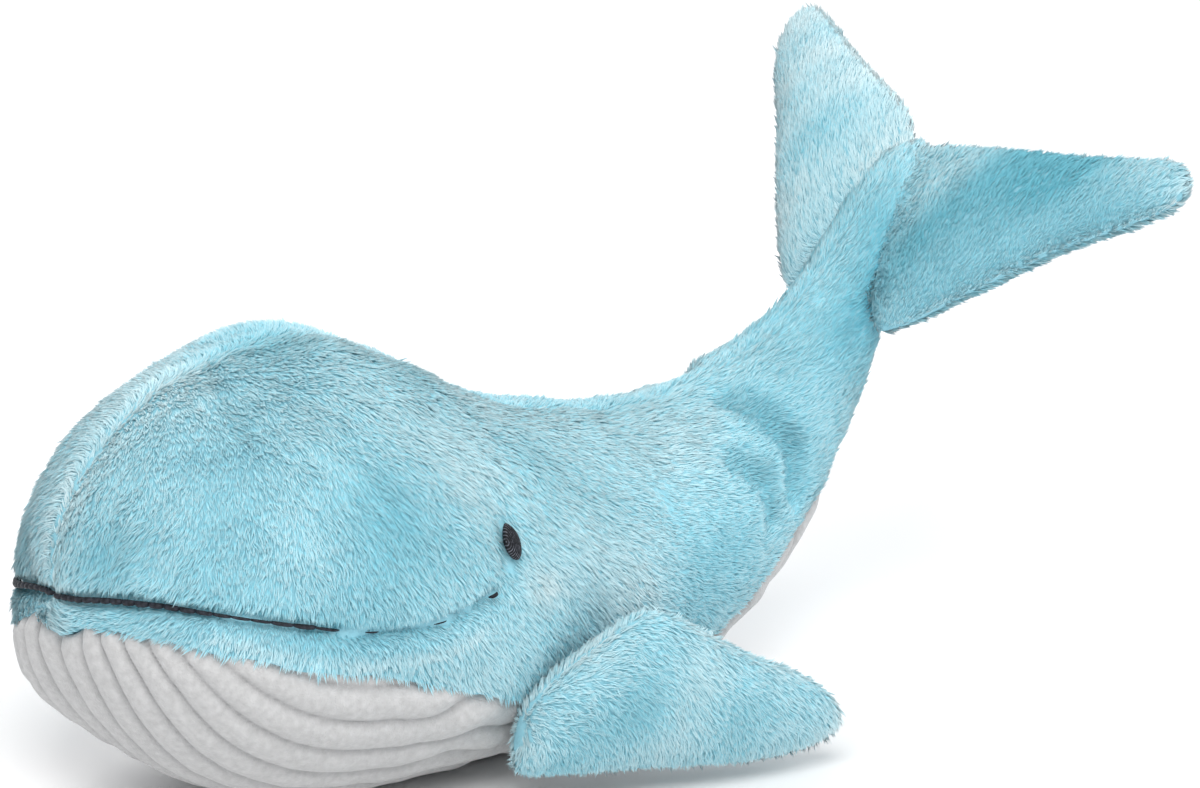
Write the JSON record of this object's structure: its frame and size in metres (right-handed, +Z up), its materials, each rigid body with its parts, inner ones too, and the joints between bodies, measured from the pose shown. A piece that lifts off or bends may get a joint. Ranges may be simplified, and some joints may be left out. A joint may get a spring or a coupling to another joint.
{
  "type": "plush whale",
  "caption": "Stuffed plush whale with a round head, ribbed belly, stitched mouth and eyes, flippers and an upswept tail with flukes.",
  "frame": {"origin": "middle of the flat under the belly that the whale rests on", "axes": "+X towards the tail along the length, +Y towards the whale's right, +Z up"},
  "size_m": [0.3861, 0.2382, 0.2002],
  "materials": {
    "blue_fur": "long soft pile",
    "white_minky": "short ribbed pile",
    "black_thread": "satin embroidery thread",
    "blue_thread": "sewing thread",
    "filling": "polyester fibre"
  },
  "bodies": {
    "body": {"head_stuffing": "filling", "torso_stuffing": "filling", "left_side_panel": "blue_fur", "right_side_panel": "blue_fur", "belly_panel": "white_minky", "back_seam": "blue_thread", "left_belly_seam": "blue_thread", "right_belly_seam": "blue_thread", "closing_stitch": "blue_thread", "mouth_thread": "black_thread", "left_eye": "black_thread", "right_eye": "black_thread"},
    "tail": {"tail_stuffing": "filling", "left_tail_panel": "blue_fur", "right_tail_panel": "blue_fur", "tail_belly_panel": "white_minky", "tail_seam": "blue_thread"},
    "left_fluke": {"left_fluke_upper": "blue_fur", "left_fluke_under": "blue_fur", "left_fluke_stuffing": "filling"},
    "right_fluke": {"right_fluke_upper": "blue_fur", "right_fluke_under": "blue_fur", "right_fluke_stuffing": "filling"},
    "left_flipper": {"left_flipper_upper": "blue_fur", "left_flipper_under": "blue_fur", "left_flipper_stuffing": "filling"},
    "right_flipper": {"right_flipper_upper": "blue_fur", "right_flipper_under": "blue_fur", "right_flipper_stuffing": "filling"}
  },
  "joints": [
    {"name": "tail_bend", "type": "hinge", "parent": "body", "child": "tail", "pos_m": [0.1189, 0, 0.0756], "axis": [0, 1, 0], "range_deg": [-14, 14], "stiffness_Nm_per_rad": 1.5},
    {"name": "left_fluke_flex", "type": "hinge", "parent": "tail", "child": "left_fluke", "pos_m": [0.1926, -0.0225, 0.1523], "axis": [0.5432, 0.1663, 0.823], "range_deg": [-15, 15], "stiffness_Nm_per_rad": 0.3},
    {"name": "right_fluke_flex", "type": "hinge", "parent": "tail", "child": "right_fluke", "pos_m": [0.1926, 0.0225, 0.1523], "axis": [-0.5432, 0.1663, -0.823], "range_deg": [-15, 15], "stiffness_Nm_per_rad": 0.3},
    {"name": "left_flipper_swing", "type": "hinge", "parent": "body", "child": "left_flipper", "pos_m": [-0.0003, -0.0739, 0.0383], "axis": [0, 0, -1], "range_deg": [0, 50], "stiffness_Nm_per_rad": 0.2},
    {"name": "right_flipper_swing", "type": "hinge", "parent": "body", "child": "right_flipper", "pos_m": [-0.0003, 0.0739, 0.0383], "axis": [0, 0, 1], "range_deg": [0, 50], "stiffness_Nm_per_rad": 0.2}
  ]
}
